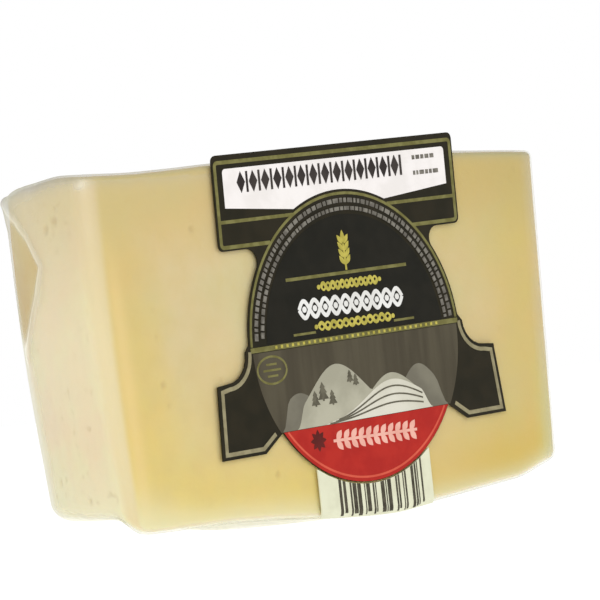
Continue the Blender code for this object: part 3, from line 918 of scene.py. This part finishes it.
def stroke(points, width):
    """A line of the given width through points, mitred at its corners."""
    points = [Vector(point) for point in points]
    ways = [(end - start).normalized() for start, end in zip(points, points[1:])]
    left, right = [], []
    for here, way_in, way_out in zip(points, [ways[0], *ways], [*ways, ways[-1]]):
        normal = (way_in.orthogonal() + way_out.orthogonal()).normalized()
        reach = width / 2 / max(0.4, normal.dot(way_in.orthogonal()))
        left.append(tuple(here + normal * reach))
        right.append(tuple(here - normal * reach))
    return scaled(left + right[::-1])


def wave(start, end, middle, swing, length, phase=0.0, steps=90):
    """Points along a wave from start to end, swinging about the height middle."""
    places = [start + (end - start) * k / steps for k in range(steps + 1)]
    return [(a, middle + swing * sin(2 * pi * ((a - start) / length + phase))) for a in places]


def chord_a(radius, b):
    """Half the width of a circle round the middle at height b."""
    return sqrt(radius**2 - b**2)


def circle_top(radius, b, steps=36):
    """The points of a circle above height b, from right to left."""
    low = asin(b / radius)
    return arc(0, 0, radius, low, pi - low, steps)


def scaled(points):
    return [(a * MM, b * MM) for a, b in points]


def mirrored(points):
    return [(-a, b) for a, b in reversed(points)]


def leaned(outline):
    """The outline, leaned like the bar's ends; in metres."""
    return [(a + BAR_LEAN * (b - BAR_LEAN_FROM), b) for a, b in outline]


def bar_print():
    """The bar across the top: a gold border, a white panel with a frieze, and two rows of small marks."""
    half, top, low = BAR_HALF_WIDTH / MM - 0.8, BAR_TOP / MM - 1.55, BAR_BOTTOM / MM + 0.75
    edge, bend = RING_RADIUS / MM, 0.7
    line_edge = edge - 0.6
    ring_a = chord_a(line_edge, low)
    right = [(ring_a, low)] + arc(half - bend, low + bend, bend, -pi / 2, 0.0, 3)
    right += arc(half - bend, top - bend, bend, 0.0, pi / 2, 3)
    rule, rule_half = 27.3, 0.36
    lines = [stroke(right + mirrored(right), 0.8)]
    lines += [box(chord_a(line_edge, rule), rule - rule_half, half - 0.4, rule + rule_half)]
    lines += [box(0.4 - half, rule - rule_half, -chord_a(line_edge, rule), rule + rule_half)]
    print_field("bar_lines", [leaned(line) for line in lines], 1, "old_gold")
    panel_half, panel_top, panel_end, panel_ring, bend = 33.0, 38.1, 30.1, 28.4, 0.8
    corner = arc(panel_half - bend, panel_top - bend, bend, 0.0, pi / 2, 4)
    panel = [(panel_half, panel_end)] + corner + mirrored(corner) + [(-panel_half, panel_end)]
    around_ring = scaled(circle_top(edge + 0.15, panel_ring, 24)[::-1])
    print_field("panel", [leaned(scaled(panel)) + around_ring], 1, "white")
    frieze = []
    for k in range(14):
        a = -28.0 + 3.5 * k
        frieze.append(lozenge(a, 35.1, 1.2, 2.25))
        frieze.append(box(a + 1.45, 32.95, a + 2.05, 37.25))
    print_field("frieze", [leaned(mark) for mark in frieze], 2, "dark_print")
    draw = random.Random(3)
    marks = []
    for b in (36.4, 33.1):
        a = 23.0
        while a < 30.0:
            length = draw.uniform(0.6, 1.6)
            marks.append(leaned(box(a, b - 0.45, min(a + length, 31.0), b + 0.45)))
            a += length + 0.35
    print_field("small_marks", marks, 2, "grey_print")


def ring_print():
    """The ring round the upper half, with two rows of small dashes, and the dark field inside it."""
    edge = RING_RADIUS / MM
    print_field("ring_line", [band(edge - 1.0, edge - 0.4, 2.6, 177.4)], 2, "old_gold")
    dashes = []
    draw = random.Random(5)
    for radius, width in ((29.1, 0.95), (27.4, 0.8)):
        degrees = 3.6
        while degrees < 174.5:
            length = draw.uniform(1.2, 3.0)
            dashes.append(band(radius - width / 2, radius + width / 2, degrees, degrees + length, 3))
            degrees += length + 0.8
    print_field("ring_dashes", dashes, 1, "grey_print")
    print_field("field", [scaled(circle_top(26.2, 1.4, 40))], 1, "field_black")


def field_print():
    """Inside the ring: an ear of wheat over a rule, a braid between two chains, and a broken rule."""
    rules = [box(-18.5, 13.65, 17.5, 14.35), box(-18.3, 2.3, -11.8, 2.8), box(11.6, 2.3, 17.8, 2.8)]
    print_field("rules", rules, 2, "old_gold")
    middle = -0.5
    wheat = [box(middle - 0.25, 14.5, middle + 0.25, 20.0), leaf(middle, 20.2, 2.7, 1.1, 90.0)]
    for k in range(4):
        for side in (-1, 1):
            wheat.append(leaf(middle + 0.15 * side, 15.6 + 1.45 * k, 2.5, 1.05, 90.0 - 36.0 * side))
    print_field("wheat", wheat, 3, "bright_gold")
    start, end, loop = -15.8, 15.0, 6.16
    braid = [stroke(wave(start, end, 7.5, 1.75, loop, phase), 0.9) for phase in (0.0, 0.5)]
    braid += [oval(start + loop * (k / 2 + 0.25), 7.5, 0.65, 0.65, 12) for k in range(10)]
    print_field("braid", braid, 2, "braid_white")
    chains = []
    for left, right, b in ((-8.6, 8.2, 11.7), (-10.8, 10.8, 3.6)):
        for phase, width in ((0.0, 0.75), (0.5, 0.45)):
            chains.append(stroke(wave(left, right, b, 0.72, (right - left) / 6, phase), width))
        chains += [oval(a, b, 0.5, 0.5, 12) for a in (left - 0.7, right + 0.7)]
    print_field("chains", chains, 3, "bright_gold")


def ridge_height(a, left, right, crests):
    """How high a range of hills stands at a, from its crests' places, heights and reaches."""
    ends = smooth_step((a - left) / 3.0) * smooth_step((right - a) / 3.0)
    return ends * max(height * exp(-(((a - place) / reach) ** 2)) for place, height, reach in crests)


def ridge_line(left, right, floor, crests, steps=60):
    """The outline of a range of hills between two ends."""
    places = [left + (right - left) * k / steps for k in range(1, steps)]
    points = [(a, floor + ridge_height(a, left, right, crests)) for a in places]
    return scaled([(right, floor), *reversed(points), (left, floor)])


def fir(a, b, high):
    """A fir tree of three tiers on a short trunk."""
    half = [(0.07, -0.1), (0.07, 0.0), (0.42, 0.0), (0.2, 0.36), (0.32, 0.36), (0.13, 0.66), (0.22, 0.66)]
    return scaled([(a + u * high, b + v * high) for u, v in [*half, (0.0, 1.0), *mirrored(half)]])


def picture_print():
    """The band below the ring: a gold strip, and three ranges of low hills with firs and terraces."""
    edge = 30.5
    across = arc(0, 0, edge, 0.0, asin(PICTURE_FLOOR / edge), 14)
    print_field("picture_ground", [scaled(across + mirrored(across))], 1, "brown_grey")
    print_field("strip", [box(-31.0, 0.15, 31.0, 1.2)], 2, "old_gold")
    ticks = [box(a, 0.4, a + 0.6, 1.0) for a in np.arange(-24.0, 25.0, 1.6)]
    print_field("strip_ticks", ticks, 3, "bright_gold")
    foot = PICTURE_FLOOR + 0.05
    for k, (name, left, right, crests) in enumerate(HILLS):
        print_field(f"{name}_hills", [ridge_line(left, right, foot, crests)], 2 + k, f"{name}_hills")
    wood = [fir(*place) for place in FIRS]
    _, left, right, crests = HILLS[-1]
    for share in TERRACES:
        places = np.linspace(-8.0 / share**0.3, 17.2, 24)
        line = [(a, foot + share * ridge_height(a, left, right, crests)) for a in places]
        wood.append(stroke(line, 0.34))
    print_field("wood_and_terraces", wood, 5, "wood_tone")


def seal_print():
    """An oval seal: a ring round three plain bars."""
    a, b, half_wide, half_high = -25.7, -3.8, 4.15, 2.8
    turns = np.linspace(0.0, 0.998 * 2 * pi, 37)
    seal = [stroke([(a + half_wide * cos(t), b + half_high * sin(t)) for t in turns], 0.45)]
    for half, up in ((1.5, 1.2), (2.5, 0.0), (1.5, -1.2)):
        seal.append(box(a - half, b + up - 0.22, a + half, b + up + 0.22))
    print_field("seal", seal, 2, "old_gold")


def roundel_print():
    """The red foot of the round part, with a rim line, a rosette and a leafy garland."""
    radius = ROUNDEL_RADIUS / MM - 0.1
    chord = -16.85
    dip = np.degrees(asin(-chord / radius))
    foot = arc(0, 0, radius, radians(180 + dip), radians(360 - dip), 44)
    print_field("foot", [scaled(foot)], 1, "red")
    rim_line = band(radius - 1.15, radius - 0.7, 181.5 + dip, 358.5 - dip)
    print_field("foot_line", [rim_line], 2, "light_red")
    rosette = [leaf(-15.2, -19.7, 2.3, 1.1, 45.0 * k) for k in range(8)]
    print_field("rosette", rosette, 2, "dark_red")
    start, end, tilt = (-10.9, -20.3), (14.2, -20.9), -1.4
    garland = [stroke([start, end], 0.6)]
    for k in range(11):
        a = start[0] + 0.9 + 2.2 * k
        b = start[1] + (end[1] - start[1]) * (a - start[0]) / (end[0] - start[0])
        for side in (-1, 1):
            garland.append(leaf(a, b, 2.7, 1.45, tilt + side * 50.0))
    print_field("garland", garland, 2, "pink")


def wing_print():
    """A line inside the edge of both wings, from the shoulder round to the red foot."""
    shoulder = arc(SHOULDER_A / MM, SHOULDER_B / MM, SHOULDER_RADIUS / MM + 1.15, pi, 1.5 * pi, 10)
    line = shoulder + [(40.3, -6.75), (41.3, -19.4), (30.9, -19.4), (27.0, -16.8)]
    lines = [stroke(points, 0.85) for points in (line, mirrored(line))]
    print_field("wing_lines", lines, 2, "pale_gold")


def make_label():
    cover("front_label", ink("black"))
    for part in (bar_print, ring_print, field_print, picture_print, seal_print, roundel_print, wing_print):
        part()


# The sticker

def sticker_bars():
    """Left and right edges of the bars, in clusters with gaps between them."""
    draw = random.Random(21)
    x, last = STICKER_X - 0.335 * STICKER_WIDTH, STICKER_X + 0.43 * STICKER_WIDTH
    bars = []
    while x < last:
        for _ in range(draw.choice((2, 3, 4))):
            width = draw.choice((0.3, 0.5, 0.5, 0.8, 1.1)) * MM
            if x + width < last:
                bars.append((x, x + width))
            x += width + draw.choice((0.25, 0.3, 0.45)) * MM
        x += draw.choice((0.5, 0.7, 1.1)) * MM
    return bars


def sticker_column(x, out, end):
    """One column of a bar, from under the label's foot down and round the lower edge to its end."""
    top = LABEL_Z - sqrt((ROUNDEL_RADIUS + STICKER_LABEL_GAP) ** 2 - (x - LABEL_X) ** 2)
    column = [(x, -out, top)]
    for k in range(4):
        turn = pi / 2 + (end - pi / 2) * k / 3
        y = LIP_ROUNDING * (1 - sin(turn))
        z = base_level(x, y) + LIP_ROUNDING * (1 - cos(turn))
        column.append((x, y - out * sin(turn), z - out * cos(turn)))
    return column


def make_sticker():
    """The white paper of the sticker, and its bars down to just short of its lower end."""
    cover("barcode_sticker", paper_material("sticker_white", (222, 223, 196), (213, 213, 186)))
    dark = paper_material("sticker_dark_print", (62, 58, 46), (84, 80, 66), 600.0)
    surface = LABEL_GAP + LABEL_THICKNESS
    draw = random.Random(8)
    form = bmesh.new()
    for left, right in sticker_bars():
        end = radians(draw.uniform(52.0, 74.0))
        sides = [sticker_column(x, surface + out, end) for out in (INK, -INK) for x in (left, right)]
        a, b, c, d = [[form.verts.new(p) for p in side] for side in sides]
        for k in range(len(a) - 1):
            for p, q in ((a, b), (b, d), (d, c), (c, a)):
                form.faces.new((p[k], p[k + 1], q[k + 1], q[k]))
        form.faces.new((a[0], b[0], d[0], c[0]))
        form.faces.new((a[-1], c[-1], d[-1], b[-1]))
    mesh = mesh_of(form, "sticker_bars", Matrix.Translation((AXIS_X, CUT_Y, 0.0)))
    piece("sticker_bars", mesh, dark)


# The floor, the light and the camera

def make_floor():
    half = 3.0
    corners = [(-half, -half, 0), (half, -half, 0), (half, half, 0), (-half, half, 0)]
    mesh = bpy.data.meshes.new("floor")
    mesh.from_pydata(corners, [], [(0, 1, 2, 3)])
    white = Nodes(bpy.data.materials.new("floor_white")).principled({
        "Base Color": (0.25, 0.25, 0.25, 1.0),
        "Roughness": 0.9,
        "Specular IOR Level": 0.0,
        "Emission Color": WHITE,
        "Emission Strength": 0.9,
    })
    mesh.materials.append(white)
    floor = placed("floor", mesh)


def make_world():
    """A white surround, full at the horizon and weaker overhead."""
    nodes = Nodes(bpy.data.worlds.new("white_surround"), "ShaderNodeOutputWorld")
    place = nodes.add("ShaderNodeTexCoord").outputs["Generated"]
    height = nodes.add("ShaderNodeSeparateXYZ", {"Vector": place}).outputs["Z"]
    limits = {"From Min": 0.15, "From Max": 0.9, "To Min": 1.0, "To Max": 0.55}
    strength = nodes.add("ShaderNodeMapRange", {"Value": height, **limits}).outputs["Result"]
    white = nodes.add("ShaderNodeBackground", {"Color": WHITE, "Strength": strength})
    bpy.context.scene.world = nodes.finish(white)


def make_light():
    light = bpy.data.lights.new("front_softbox", "AREA")
    light.shape = "SQUARE"
    light.size = SOFTBOX_SIZE
    light.energy = SOFTBOX_POWER
    lamp = placed("front_softbox", light)
    lamp.location = SOFTBOX_PLACE
    towards = Vector(SOFTBOX_PLACE) - Vector(SOFTBOX_AIM)
    lamp.rotation_euler = towards.to_track_quat("Z", "Y").to_euler()
    lamp.visible_camera = False


def make_camera():
    back = (Vector(CAMERA_PLACE) - Vector(CAMERA_AIM)).normalized()
    right = Vector((0.0, 0.0, 1.0)).cross(back).normalized()
    up = back.cross(right)
    rolled_right = right * cos(CAMERA_ROLL) + up * sin(CAMERA_ROLL)
    turned = Matrix((rolled_right, back.cross(rolled_right), back)).transposed().to_4x4()
    turned.translation = CAMERA_PLACE
    data = bpy.data.cameras.new("camera")
    data.lens = CAMERA_LENS
    data.sensor_width = CAMERA_SENSOR
    camera = placed("camera", data)
    camera.matrix_world = turned
    bpy.context.scene.camera = camera


make_camera()
make_world()
make_floor()
make_light()
make_cheese()
make_film()
make_label()
make_sticker()
bpy.context.scene.view_settings.view_transform = "Standard"
